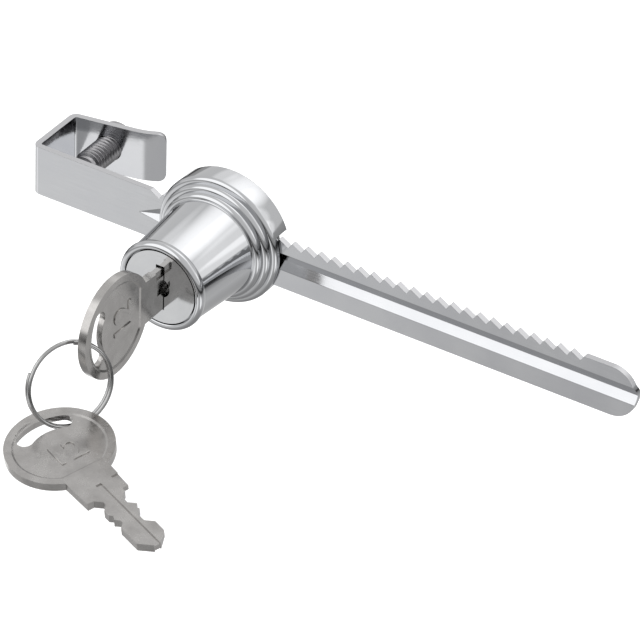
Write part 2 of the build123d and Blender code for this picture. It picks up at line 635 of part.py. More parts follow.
def cut_key(name, base):
    """Make a key in a plane: its blade along the plane's X, its faces square to the plane's Z."""
    face_plane = base.offset(KEY_THICK / 2)
    back_plane = base.offset(-KEY_THICK / 2)
    bow_meets_neck = math.sqrt(BOW_RADIUS**2 - NECK_HALF**2) - NECK_OVERLAP
    with BuildPart() as key:
        with BuildSketch(back_plane):
            Circle(BOW_RADIUS)
            with BuildLine():
                Polyline(
                    (bow_meets_neck, -NECK_HALF),
                    (SHOULDER, -SHOULDER_HALF),
                    (SHOULDER, SHOULDER_HALF),
                    (bow_meets_neck, NECK_HALF),
                    close=True,
                )
            make_face()
            with BuildLine():
                Polyline(
                    (SHOULDER - NECK_OVERLAP, -BLADE_HALF),
                    (BLADE_END - BLADE_TIP_CHAMFER, -BLADE_HALF),
                    (BLADE_END, -BLADE_TIP_HALF),
                    (BLADE_END, BLADE_TIP_HALF),
                    (BLADE_END - BLADE_TIP_CHAMFER, BLADE_HALF),
                    (SHOULDER - NECK_OVERLAP, BLADE_HALF),
                    close=True,
                )
            make_face()
            for place, floor, flat in BITS_ABOVE:
                bit_cut(place, floor, flat, 1)
            for place, floor, flat in BITS_BELOW:
                bit_cut(place, floor, flat, -1)
            with BuildLine() as slot_line:
                ThreePointArc(
                    (RING_SLOT_BOW - RING_SLOT_AT, -RING_SLOT_HALF),
                    (-RING_SLOT_AT, 0),
                    (RING_SLOT_BOW - RING_SLOT_AT, RING_SLOT_HALF),
                )
            SlotArc(slot_line.edge(), RING_SLOT_WIDTH, mode=Mode.SUBTRACT)
        extrude(amount=KEY_THICK)
        for plane, depth in ((face_plane, -FIELD_DEPTH), (back_plane, FIELD_DEPTH)):
            with BuildSketch(plane):
                Circle(BOW_RADIUS - BOW_RIM)
                with Locations((FIELD_CHORD, 0)):
                    Rectangle(BOW_RADIUS, 2 * BOW_RADIUS, align=(Align.MIN, Align.CENTER), mode=Mode.SUBTRACT)
            extrude(amount=depth, mode=Mode.SUBTRACT)
        for plane, depth in ((face_plane, -GROOVE_DEPTH), (back_plane, GROOVE_DEPTH)):
            with BuildSketch(plane):
                with Locations((GROOVE_START, 0)):
                    Rectangle(BLADE_END, GROOVE_WIDTH, align=(Align.MIN, Align.CENTER))
                with Locations((RELIEF_START, RELIEF_HALF)):
                    Rectangle(SHOULDER, NECK_HALF, align=(Align.MIN, Align.MIN))
            extrude(amount=depth, mode=Mode.SUBTRACT)
    finish_part(key, name)


def ring_spoke(angle):
    """Direction from the ring's centre at an angle in degrees, in the ring's plane."""
    turn = math.radians(angle)
    return ring_axes.x_dir * math.cos(turn) + ring_axes.y_dir * math.sin(turn)


# Places where the ring's wire passes the key in the lock and the spare key
ring_axes = Plane(origin=(0, 0, 0), x_dir=RING_START, z_dir=RING_NORMAL)
key_wire = Vector(LOCK_X, KEY_BOW_Y - RING_SLOT_AT + KEY_WIRE_INSET, LOCK_Z - KEY_WIRE_DROP)
ring_centre = key_wire - ring_spoke(RING_KEY_ANGLE) * RING_RADIUS
spare_wire = ring_centre + ring_spoke(RING_SPARE_ANGLE) * RING_RADIUS
wire_in_spare = Location((0, 0, 0), SPARE_TURNS) * Pos(SPARE_WIRE_INSET - RING_SLOT_AT, SPARE_WIRE_RISE, 0)
spare_centre = spare_wire - wire_in_spare.position

# Key in the lock, and the spare key on the ring
cut_key("lock_key", Plane(origin=(LOCK_X, KEY_BOW_Y, LOCK_Z), x_dir=(0, 1, 0), z_dir=(1, 0, 0)))
cut_key("spare_key", Plane(Location(spare_centre, SPARE_TURNS)))

# Split ring
ring_plane = Plane(origin=ring_centre, x_dir=RING_START, z_dir=RING_NORMAL)
flat_steps = RING_TURN_STEPS - RING_RISE_STEPS
ring_points = []
for step in range(RING_TURN_STEPS + flat_steps + 1):
    turn = math.tau * step / RING_TURN_STEPS
    risen = min(max(step - flat_steps, 0), RING_RISE_STEPS) / RING_RISE_STEPS
    level = RING_PITCH * (risen - 0.5)
    ring_points.append((RING_RADIUS * math.cos(turn), RING_RADIUS * math.sin(turn), level))

with BuildPart() as key_ring:
    with BuildLine(ring_plane) as ring_line:
        Polyline(*ring_points)
    start_plane = Plane(origin=ring_line.line @ 0, x_dir=ring_plane.z_dir, z_dir=ring_line.line % 0)
    with BuildSketch(start_plane) as wire:
        Rectangle(RING_WIRE, RING_WIRE)
    sweep(wire.sketch, path=ring_line.line, transition=Transition.RIGHT)
finish_part(key_ring, "key_ring")
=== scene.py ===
"""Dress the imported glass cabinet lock: chrome, nickel, thread, split ring, light and camera."""

import logging
import math
from collections.abc import Callable, Iterator, Sequence
from contextlib import contextmanager
from dataclasses import dataclass
from enum import Enum

import bpy
from mathutils import Matrix, Vector


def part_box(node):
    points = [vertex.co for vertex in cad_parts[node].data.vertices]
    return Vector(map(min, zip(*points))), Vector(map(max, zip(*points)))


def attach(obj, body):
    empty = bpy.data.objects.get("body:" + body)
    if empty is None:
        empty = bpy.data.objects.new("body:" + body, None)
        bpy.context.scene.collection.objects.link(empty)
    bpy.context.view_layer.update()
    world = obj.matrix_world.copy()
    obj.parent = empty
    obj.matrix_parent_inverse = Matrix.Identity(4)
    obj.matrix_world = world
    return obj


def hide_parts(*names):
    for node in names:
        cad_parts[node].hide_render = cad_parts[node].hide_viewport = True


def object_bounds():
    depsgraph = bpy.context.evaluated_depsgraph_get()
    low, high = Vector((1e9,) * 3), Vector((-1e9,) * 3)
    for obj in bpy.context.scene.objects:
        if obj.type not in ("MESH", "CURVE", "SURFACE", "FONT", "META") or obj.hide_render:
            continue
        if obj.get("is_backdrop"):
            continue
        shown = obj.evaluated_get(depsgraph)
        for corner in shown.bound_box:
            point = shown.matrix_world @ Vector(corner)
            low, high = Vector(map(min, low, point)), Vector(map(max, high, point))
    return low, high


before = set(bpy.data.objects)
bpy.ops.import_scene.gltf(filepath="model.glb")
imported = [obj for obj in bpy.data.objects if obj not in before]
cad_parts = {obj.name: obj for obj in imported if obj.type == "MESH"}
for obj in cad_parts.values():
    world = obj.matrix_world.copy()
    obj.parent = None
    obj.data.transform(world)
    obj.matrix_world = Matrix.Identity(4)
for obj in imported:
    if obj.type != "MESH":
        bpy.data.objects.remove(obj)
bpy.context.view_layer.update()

MM = 0.001
Point = tuple[float, float, float]
Profile = Sequence[tuple[float, float]]
Colour = tuple[float, float, float, float]
# Points closer than this are one: in a new mesh, among a solid's loose faces, between tubes
WELD = 0.0005 * MM
SOLID_WELD = 0.001 * MM
TUBE_WELD = 0.01 * MM
log = logging.getLogger("glass_cabinet_lock")


class Grain(Enum):
    """Which way the marks of a metal's making run."""

    ALONG = "along the strip"
    TURNED = "round the lock's axis"
    SPUN_FACE = "in rings on a turned face"
    TUMBLED = "every way, from a tumbling barrel"


class Side(Enum):
    """Which side of a key's blade plane a mark stands on."""

    FACE = 1
    BACK = -1


# Materials


def linear(hex_colour: str) -> Colour:
    """Turn an sRGB hex colour into Blender's linear colour.

    Args:
        hex_colour: Six hex digits, such as "c8cacc".

    Returns:
        Red, green, blue and an alpha of 1.
    """
    channels = [int(hex_colour[start : start + 2], 16) / 255 for start in (0, 2, 4)]
    curve = [c / 12.92 if c <= 0.04045 else ((c + 0.055) / 1.055) ** 2.4 for c in channels]
    return curve[0], curve[1], curve[2], 1.0


def add_node(
    tree: bpy.types.NodeTree,
    kind: str,
    inputs: dict[str | int, object] | None = None,
    settings: dict[str, object] | None = None,
) -> bpy.types.Node:
    """Add a shader node, set its options, and fill or link its sockets.

    Args:
        tree: The material's node tree.
        kind: The node's type, such as "ShaderNodeTexNoise".
        inputs: Socket name or number to a value, or to an output socket to link.
        settings: Property name to value.

    Returns:
        The new node.
    """
    node = tree.nodes.new(kind)
    for name, value in (settings or {}).items():
        setattr(node, name, value)
    for name, value in (inputs or {}).items():
        if isinstance(value, bpy.types.NodeSocket):
            tree.links.new(value, node.inputs[name])
        else:
            node.inputs[name].default_value = value
    return node


def ramp(
    tree: bpy.types.NodeTree,
    factor: bpy.types.NodeSocket,
    stops: Sequence[tuple[float, Colour]],
) -> bpy.types.NodeSocket:
    """Run a value through a colour ramp.

    Args:
        tree: The material's node tree.
        factor: The value that picks the colour.
        stops: Places from 0 to 1, each with its linear colour.

    Returns:
        The ramp's colour socket.
    """
    node = add_node(tree, "ShaderNodeValToRGB", {"Fac": factor})
    elements = node.color_ramp.elements
    while len(elements) < len(stops):
        elements.new(1.0)
    for element, (place, colour) in zip(elements, stops):
        element.position = place
        element.color = colour
    return node.outputs["Color"]


@dataclass(frozen=True)
class Metal:
    """A plated or bare metal: its colour, the marks of its making, and its wear.

    Marks and cloudiness are given in millimetres, so that their scale is the real one. Waves
    are the slow unevenness under the polish, which bends what the metal mirrors. Where a sheared
    colour is given, faces that look up or down have it: the press cut them, and the plating
    over the torn steel is duller.
    """

    name: str
    colour: str
    shade: str
    roughness: float
    roughness_spread: float
    grain: Grain
    grain_mm: float
    grain_depth: float
    cloud_mm: float = 9.0
    wave_mm: float = 0.0
    wave_depth: float = 0.0
    centre: Point = (0.0, 0.0, 0.0)
    sheared: str = ""
    sheared_roughness: float = 0.38
    sheared_upright: tuple[float, float] = (0.5, 0.7)
    grain_height_mm: float = 0.02
    wave_height_mm: float = 0.06
    rolled_pull: Point = (0.04, 1.0, 1.0)
    turned_pull: float = 0.35
    # Between these the cloud goes from shade to colour, and marks and cloud together roughen
    cloud_span: tuple[float, float] = (0.35, 0.65)
    rough_span: tuple[float, float] = (0.15, 0.4)

    def coordinates(self, tree: bpy.types.NodeTree) -> bpy.types.NodeSocket:
        """Lay out the pattern's coordinates in millimetres, drawn out along the grain.

        Args:
            tree: The material's node tree.

        Returns:
            The coordinates, for a noise texture to read.
        """
        place = add_node(tree, "ShaderNodeTexCoord").outputs["Object"]
        centred = add_node(
            tree,
            "ShaderNodeVectorMath",
            {0: place, 1: self.centre},
            {"operation": "SUBTRACT"},
        ).outputs[0]
        millimetres = add_node(
            tree,
            "ShaderNodeVectorMath",
            {0: centred, "Scale": 1 / MM},
            {"operation": "SCALE"},
        ).outputs[0]
        if self.grain is Grain.TUMBLED:
            return millimetres
        parts = add_node(tree, "ShaderNodeSeparateXYZ", {0: millimetres})
        if self.grain is Grain.ALONG:
            return add_node(
                tree,
                "ShaderNodeVectorMath",
                {0: millimetres, 1: self.rolled_pull},
                {"operation": "MULTIPLY"},
            ).outputs[0]
        flat = add_node(tree, "ShaderNodeCombineXYZ", {0: parts.outputs[0], 1: parts.outputs[2]})
        radius = add_node(
            tree, "ShaderNodeVectorMath", {0: flat.outputs[0]}, {"operation": "LENGTH"}
        ).outputs["Value"]
        depth = parts.outputs[1]
        if self.grain is Grain.SPUN_FACE:
            return add_node(tree, "ShaderNodeCombineXYZ", {0: radius, 1: depth}).outputs[0]
        slow = add_node(
            tree, "ShaderNodeMath", {0: radius, 1: self.turned_pull}, {"operation": "MULTIPLY"}
        ).outputs[0]
        return add_node(tree, "ShaderNodeCombineXYZ", {0: slow, 1: depth}).outputs[0]

    def build(self) -> bpy.types.Material:
        """Make the node material.

        Returns:
            The finished material, with all its colour, roughness and bump from nodes.
        """
        material = bpy.data.materials.new(self.name)
        material.use_nodes = True
        tree = material.node_tree
        tree.nodes.clear()
        vector = self.coordinates(tree)
        grain = add_node(
            tree,
            "ShaderNodeTexNoise",
            {"Vector": vector, "Scale": 1 / self.grain_mm, "Detail": 3.0, "Roughness": 0.55},
        ).outputs["Fac"]
        place = add_node(tree, "ShaderNodeTexCoord").outputs["Object"]
        cloud = add_node(
            tree,
            "ShaderNodeTexNoise",
            {"Vector": place, "Scale": 1 / (self.cloud_mm * MM), "Detail": 4.0, "Roughness": 0.6},
        ).outputs["Fac"]
        least, full = self.cloud_span
        colour = ramp(tree, cloud, ((least, linear(self.shade)), (full, linear(self.colour))))
        mixed = add_node(
            tree,
            "ShaderNodeMath",
            {0: grain, 1: cloud},
            {"operation": "MULTIPLY"},
        ).outputs[0]
        least, full = self.rough_span
        roughness = add_node(
            tree,
            "ShaderNodeMapRange",
            {
                "Value": mixed,
                "From Min": least,
                "From Max": full,
                "To Min": self.roughness,
                "To Max": self.roughness + self.roughness_spread,
            },
        ).outputs[0]
        if self.sheared:
            normal = add_node(tree, "ShaderNodeNewGeometry").outputs["Normal"]
            height = add_node(tree, "ShaderNodeSeparateXYZ", {0: normal}).outputs[2]
            upright = add_node(
                tree, "ShaderNodeMath", {0: height}, {"operation": "ABSOLUTE"}
            ).outputs[0]
            least, full = self.sheared_upright
            edge = add_node(
                tree, "ShaderNodeMapRange", {"Value": upright, "From Min": least, "From Max": full}
            ).outputs[0]
            colour = add_node(
                tree,
                "ShaderNodeMix",
                {0: edge, 6: colour, 7: linear(self.sheared)},
                {"data_type": "RGBA"},
            ).outputs[2]
            roughness = add_node(
                tree,
                "ShaderNodeMapRange",
                {"Value": edge, "To Min": roughness, "To Max": self.sheared_roughness},
            ).outputs[0]
        bump = add_node(
            tree,
            "ShaderNodeBump",
            {
                "Height": grain,
                "Strength": self.grain_depth,
                "Distance": self.grain_height_mm * MM,
            },
        ).outputs[0]
        if self.wave_mm > 0:
            wave = add_node(
                tree,
                "ShaderNodeTexNoise",
                {"Vector": place, "Scale": 1 / (self.wave_mm * MM), "Detail": 1.0},
            ).outputs["Fac"]
            bump = add_node(
                tree,
                "ShaderNodeBump",
                {
                    "Height": wave,
                    "Strength": self.wave_depth,
                    "Distance": self.wave_height_mm * MM,
                    "Normal": bump,
                },
            ).outputs[0]
        shader = add_node(
            tree,
            "ShaderNodeBsdfPrincipled",
            {"Base Color": colour, "Metallic": 1.0, "Roughness": roughness, "Normal": bump},
        )
        add_node(tree, "ShaderNodeOutputMaterial", {"Surface": shader.outputs[0]})
        return material


# Where the lock's axis crosses the bar
LOCK_X = 39.74 * MM
LOCK_Z = 0.9 * MM
LOCK_AXIS = (LOCK_X, 0.0, LOCK_Z)

# Bright nickel-chrome on a rolled steel strip: near-mirror, with faint lines along the rolling,
# and duller teeth and edges where the press cut it
CHROMED_STRIP = Metal(
    "chrome plated steel strip", "c6c7c9", "c0c1c4", 0.07, 0.08, Grain.ALONG, 0.35, 0.18,
    cloud_mm=14.0, wave_mm=9.0, wave_depth=0.10, sheared="bdbdbf",
)
# Bright chrome on a die-cast zinc body, buffed on a spindle: a softer, deeper mirror
CHROMED_CASTING = Metal(
    "chrome plated zinc casting", "c6c7c9", "c1c2c4", 0.04, 0.04, Grain.TURNED, 0.5, 0.06,
    cloud_mm=12.0, wave_mm=6.0, wave_depth=0.03, centre=LOCK_AXIS,
)
# Chromed turned brass: fine rings from the lathe show on the plug's face
CHROMED_PLUG = Metal(
    "chrome plated turned brass", "d2d3d4", "cacbcd", 0.08, 0.06, Grain.SPUN_FACE, 0.22, 0.16,
    cloud_mm=8.0, centre=LOCK_AXIS,
)
# Tumbled nickel plate on stamped brass: warm grey, scuffed every way, softly blurred
TUMBLED_NICKEL = Metal(
    "tumbled nickel plate", "b9b7b5", "a9a7a5", 0.17, 0.12, Grain.TUMBLED, 0.8, 0.10,
    cloud_mm=5.0, wave_mm=5.0, wave_depth=0.5,
)
# Hardened spring wire, polished: bright, with a little blur
POLISHED_WIRE = Metal(
    "polished spring steel wire", "b3b3b3", "a8a8a8", 0.14, 0.08, Grain.TUMBLED, 0.5, 0.1,
    cloud_mm=5.0,
)
# Zinc-plated machine screw: greyer and duller than the chrome round it
TURNED_SCREW = Metal(
    "zinc plated screw steel", "a5a4a6", "8f8e90", 0.2, 0.12, Grain.TURNED, 0.3, 0.3,
    cloud_mm=2.5,
)
# Satin stamped steel of the rear cover: an even grey that spreads the light in a soft disc
SATIN_STEEL = Metal(
    "satin stamped steel", "b4b5b7", "a5a7a9", 0.28, 0.12, Grain.SPUN_FACE, 0.3, 0.3,
    cloud_mm=5.0, centre=LOCK_AXIS,
)
# Bare hardened steel of the hidden pins and the pawl: dark grey, dull and a little blotched
HARDENED_STEEL = Metal(
    "hardened steel", "88898b", "6f7072", 0.32, 0.15, Grain.TUMBLED, 0.4, 0.4, cloud_mm=3.0,
)
# Stamped brass of the wafers: yellow, with burnished edges
STAMPED_BRASS = Metal(
    "stamped brass", "c9a75c", "b08f48", 0.25, 0.15, Grain.TUMBLED, 0.35, 0.4, cloud_mm=2.5,
)
# Drawn music wire of the clip and the small springs: mid grey with a narrow shine
DRAWN_WIRE = Metal(
    "drawn spring wire", "8f9092", "77787a", 0.22, 0.12, Grain.TUMBLED, 0.2, 0.3, cloud_mm=1.5,
)


# Work on meshes, as by hand


def deselect() -> None:
    """Deselect everything."""
    bpy.ops.object.select_all(action="DESELECT")


def activate(piece: bpy.types.Object) -> None:
    """Select one piece alone and make it active.

    Args:
        piece: The object.
    """
    deselect()
    piece.select_set(True)
    bpy.context.view_layer.objects.active = piece


@contextmanager
def editing(piece: bpy.types.Object, everything: bool = True) -> Iterator[None]:
    """Work in edit mode on one piece.

    Args:
        piece: The mesh object.
        everything: Whether all of it is selected at the start, rather than what was chosen.

    Yields:
        Nothing. The piece is back in object mode afterwards.
    """
    activate(piece)
    bpy.ops.object.mode_set(mode="EDIT")
    if everything:
        bpy.ops.mesh.select_all(action="SELECT")
    yield
    bpy.ops.object.mode_set(mode="OBJECT")


def apply_modifier(piece: bpy.types.Object, kind: str, **settings: object) -> None:
    """Add a modifier to a piece, set it, and apply it.

    Args:
        piece: The mesh object.
        kind: The modifier's type, such as "BEVEL".
        **settings: Its properties and their values.
    """
    activate(piece)
    modifier = piece.modifiers.new(kind.title(), kind)
    for name, value in settings.items():
        setattr(modifier, name, value)
    bpy.ops.object.modifier_apply(modifier=modifier.name)


def settle(piece: bpy.types.Object) -> None:
    """Put a piece's place, turn and scale into its mesh."""
    activate(piece)
    bpy.ops.object.transform_apply(location=True, rotation=True, scale=True)


def dress(
    piece: bpy.types.Object,
    name: str,
    material: bpy.types.Material,
    body: str,
    replaced: Sequence[str] = (),
) -> None:
    """Name a finished piece, give it its finish, and let it ride on its body.

    Args:
        piece: The mesh object, at the origin.
        name: Its name in the table of pieces.
        material: Its finish.
        body: The body that carries it.
        replaced: The solids that it stands for.
    """
    piece.name = name
    piece.data.name = name
    piece.data.materials.clear()
    piece.data.materials.append(material)
    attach(piece, body)
    if replaced:
        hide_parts(*replaced)
    log.info("%s: %d faces on %s", name, len(piece.data.polygons), body)


def polyline(points: Sequence[Point], closed: bool) -> bpy.types.Object:
    """Draw a run of edges by extruding one vertex from point to point.

    Args:
        points: The corners, in metres.
        closed: Whether the last corner joins the first.

    Returns:
        A mesh object of edges only.
    """
    deselect()
    bpy.ops.mesh.primitive_plane_add(size=MM, location=points[0])
    line = bpy.context.object
    settle(line)
    with editing(line):
        bpy.ops.mesh.merge(type="CENTER")
        for start, end in zip(points, points[1:]):
            step = Vector(end) - Vector(start)
            bpy.ops.mesh.extrude_vertices_move(TRANSFORM_OT_translate={"value": step})
        if closed:
            bpy.ops.mesh.select_all(action="SELECT")
            bpy.ops.mesh.edge_face_add()
            bpy.ops.mesh.delete(type="ONLY_FACE")
    return line


def rounded(points: Profile, radii: dict[int, float], steps: int = 6) -> list[tuple[float, float]]:
    """Round some corners of a profile.

    Args:
        points: The profile's corners.
        radii: Corner number to radius.
        steps: Straight pieces per rounded corner.

    Returns:
        The corners with each rounded one replaced by the points of its arc.
    """
    result: list[tuple[float, float]] = []
    for number, corner in enumerate(points):
        if number not in radii:
            result.append(corner)
            continue
        here = Vector(corner)
        before = (Vector(points[number - 1]) - here).normalized()
        after = (Vector(points[(number + 1) % len(points)]) - here).normalized()
        half = before.angle(after) / 2
        reach = radii[number] / math.tan(half)
        centre = here + (before + after).normalized() * radii[number] / math.sin(half)
        start = here + before * reach - centre
        end = here + after * reach - centre
        turn = start.angle_signed(end)
        for step in range(steps + 1):
            angle = -turn * step / steps
            spoke = Vector(
                (
                    start.x * math.cos(angle) - start.y * math.sin(angle),
                    start.x * math.sin(angle) + start.y * math.cos(angle),
                )
            )
            result.append(tuple(centre + spoke))
    return result


def lathe(profile: Profile, steps: int) -> bpy.types.Object:
    """Turn a closed profile round the lock's axis.

    Args:
        profile: Places along Y and radii, in millimetres.
        steps: Faces round the axis.

    Returns:
        A closed mesh object.
    """
    points = [(LOCK_X + radius * MM, y * MM, LOCK_Z) for y, radius in profile]
    piece = polyline(points, closed=True)
    with editing(piece):
        bpy.ops.mesh.spin(
            steps=steps, angle=math.tau, center=(LOCK_X, 0, LOCK_Z), axis=(0, 1, 0)
        )
        bpy.ops.mesh.select_all(action="SELECT")
        bpy.ops.mesh.remove_doubles(threshold=WELD)
        bpy.ops.mesh.normals_make_consistent(inside=False)
    return piece


def smooth(piece: bpy.types.Object, degrees: float) -> None:
    """Shade a piece smooth, with its sharper edges kept."""
    activate(piece)
    bpy.ops.object.shade_smooth_by_angle(angle=math.radians(degrees))


def choose(piece: bpy.types.Object, wanted: Callable[[Vector], bool]) -> None:
    """Select the vertices whose place passes a test, and no others.

    Args:
        piece: The mesh object.
        wanted: Says of a place, in metres, whether its vertex is selected.
    """
    with editing(piece):
        bpy.ops.mesh.select_all(action="DESELECT")
    for vertex in piece.data.vertices:
        vertex.select = wanted(vertex.co)


def solid_copy(node: str) -> bpy.types.Object:
    """Copy a solid's mesh and join its loose faces.

    Args:
        node: The solid's name.

    Returns:
        The new mesh object.
    """
    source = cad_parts[node]
    copy = bpy.data.objects.new(node + "_eased", source.data.copy())
    bpy.context.scene.collection.objects.link(copy)
    with editing(copy):
        bpy.ops.mesh.remove_doubles(threshold=SOLID_WELD)
        bpy.ops.mesh.customdata_custom_splitnormals_clear()
        bpy.ops.mesh.dissolve_limited(angle_limit=math.radians(0.3))
    return copy


def ease(
    piece: bpy.types.Object, bevel_mm: float, degrees: float = 28.0, clamp: bool = True
) -> None:
    """Ease a piece's sharp edges, and shade its flats flat.

    Args:
        piece: The mesh object.
        bevel_mm: Width of the eased edge.
        degrees: Edges sharper than this are eased.
        clamp: Whether the narrowest place sets the width everywhere. It keeps fine grooves open,
            where a full bevel would fold over itself.
    """
    apply_modifier(
        piece,
        "BEVEL",
        width=bevel_mm * MM,
        segments=2,
        limit_method="ANGLE",
        angle_limit=math.radians(degrees),
        use_clamp_overlap=clamp,
        harden_normals=False,
    )
    smooth(piece, degrees=40.0)
    apply_modifier(piece, "WEIGHTED_NORMAL", mode="FACE_AREA", weight=100, keep_sharp=True)


# Sub-assemblies


@dataclass
class RatchetBar:
    """The toothed bar, bent from one strip, with its pressed rib and its hook."""

    edge_mm: float = 0.06
    crease_degrees: float = 20.0
    # The corners where the rib reaches its full width, and how far they move towards its point
    rib_full_mm: float = 27.0
    rib_pick_mm: float = 0.1
    rib_height_mm: tuple[float, float] = (-1.9, 3.1)
    rib_shift_mm: float = -1.8

    def on_rib_corner(self, place: Vector) -> bool:
        """Say whether a place is one of the corners where the rib reaches its full width."""
        low, high = self.rib_height_mm
        return abs(place.x / MM - self.rib_full_mm) < self.rib_pick_mm and low < place.z / MM < high

    def build(self) -> None:
        """Ease the strip's edges, open the rib's point out sooner, and plate it."""
        bar = solid_copy("ratchet_bar")
        choose(bar, self.on_rib_corner)
        with editing(bar, everything=False):
            bpy.ops.transform.translate(value=(self.rib_shift_mm * MM, 0, 0))
        ease(bar, self.edge_mm, self.crease_degrees, clamp=False)
        dress(bar, "ratchet_bar_strip", CHROMED_STRIP.build(), "bar", ["ratchet_bar"])


@dataclass
class ClampScrew:
    """The slotted screw that grips the glass, with its thread."""

    radius_mm: float = 3.0
    pitch_mm: float = 1.0
    thread_depth_mm: float = 0.6
    tip_mm: float = 5.6
    under_head_mm: float = 16.85
    head_radius_mm: float = 4.5
    head_height_mm: float = 2.1
    slot_width_mm: float = 1.2
    slot_depth_mm: float = 1.1
    slot_turn: float = -35.0
    edge_mm: float = 0.08
    # The ridge's half widths at its foot and crest, as shares of the pitch
    foot_half: float = 0.44
    crest_half: float = 0.07
    # How deep the ridge's foot sinks in the core, and where the thread starts and stops
    foot_sink_mm: float = 0.05
    run_in_mm: float = 0.1
    run_out_mm: float = 1.1
    facets: int = 40
    core_facets: int = 64

    def core(self) -> bpy.types.Object:
        """Turn the core and the head on the screw's own axis.

        Returns:
            The closed blank.
        """
        root = self.radius_mm - self.thread_depth_mm
        top = self.under_head_mm + self.head_height_mm
        profile = rounded(
            [
                (self.tip_mm, 0.0),
                (self.tip_mm, root),
                (self.under_head_mm, root),
                (self.under_head_mm, self.head_radius_mm),
                (top, self.head_radius_mm),
                (top, 0.0),
            ],
            {1: 0.25, 3: 0.2, 4: 0.45},  # the tip, and the head's lower and upper edge
        )
        line = polyline([(r * MM, y * MM, 0.0) for y, r in profile], closed=False)
        with editing(line):
            bpy.ops.mesh.spin(
                steps=self.core_facets, angle=math.tau, center=(0, 0, 0), axis=(0, 1, 0)
            )
            bpy.ops.mesh.select_all(action="SELECT")
            bpy.ops.mesh.remove_doubles(threshold=WELD)
            bpy.ops.mesh.normals_make_consistent(inside=False)
        return line

    def thread(self) -> bpy.types.Object:
        """Wind one ridge of the thread from the tip to the head.

        Returns:
            The ridge, closed at both ends.
        """
        root = (self.radius_mm - self.thread_depth_mm - self.foot_sink_mm) * MM
        crest = self.radius_mm * MM
        half = self.foot_half * self.pitch_mm * MM
        flat = self.crest_half * self.pitch_mm * MM
        start = self.tip_mm * MM + half + self.run_in_mm * MM
        ridge = polyline(
            [
                (root, start - half, 0.0),
                (crest, start - flat, 0.0),
                (crest, start + flat, 0.0),
                (root, start + half, 0.0),
            ],
            closed=True,
        )
        turns = (self.under_head_mm - self.tip_mm - self.run_out_mm) / self.pitch_mm
        apply_modifier(
            ridge,
            "SCREW",
            axis="Y",
            angle=math.tau * turns,
            screw_offset=turns * self.pitch_mm * MM,
            steps=round(turns * self.facets),
            render_steps=round(turns * self.facets),
            use_smooth_shade=False,
        )
        with editing(ridge):
            bpy.ops.mesh.remove_doubles(threshold=WELD)
            bpy.ops.mesh.select_all(action="DESELECT")
            bpy.ops.mesh.select_non_manifold()
            bpy.ops.mesh.fill_holes(sides=8)
            bpy.ops.mesh.select_all(action="SELECT")
            bpy.ops.mesh.normals_make_consistent(inside=False)
        return ridge

    def build(self) -> None:
        """Join core and thread, cut the slot, and plate the screw."""
        core = self.core()
        top = self.under_head_mm + self.head_height_mm
        deselect()
        bpy.ops.mesh.primitive_cube_add(
            size=1, location=(0, (top - self.slot_depth_mm / 2 + 0.5) * MM, 0)
        )
        cutter = bpy.context.object
        cutter.scale = (12 * MM, (self.slot_depth_mm + 1.0) * MM, self.slot_width_mm * MM)
        cutter.rotation_euler.y = math.radians(self.slot_turn)
        settle(cutter)
        apply_modifier(core, "BOOLEAN", object=cutter, operation="DIFFERENCE", solver="EXACT")
        bpy.data.objects.remove(cutter)
        apply_modifier(
            core, "BEVEL", width=self.edge_mm * MM, segments=2, limit_method="ANGLE",
            angle_limit=math.radians(50),
        )
        smooth(core, degrees=40.0)
        thread = self.thread()
        smooth(thread, degrees=25.0)
        activate(core)
        thread.select_set(True)
        bpy.ops.object.join()
        dress(
            core, "clamp_screw_threaded", TURNED_SCREW.build(), "clamp",
            ["clamp_screw"],
        )


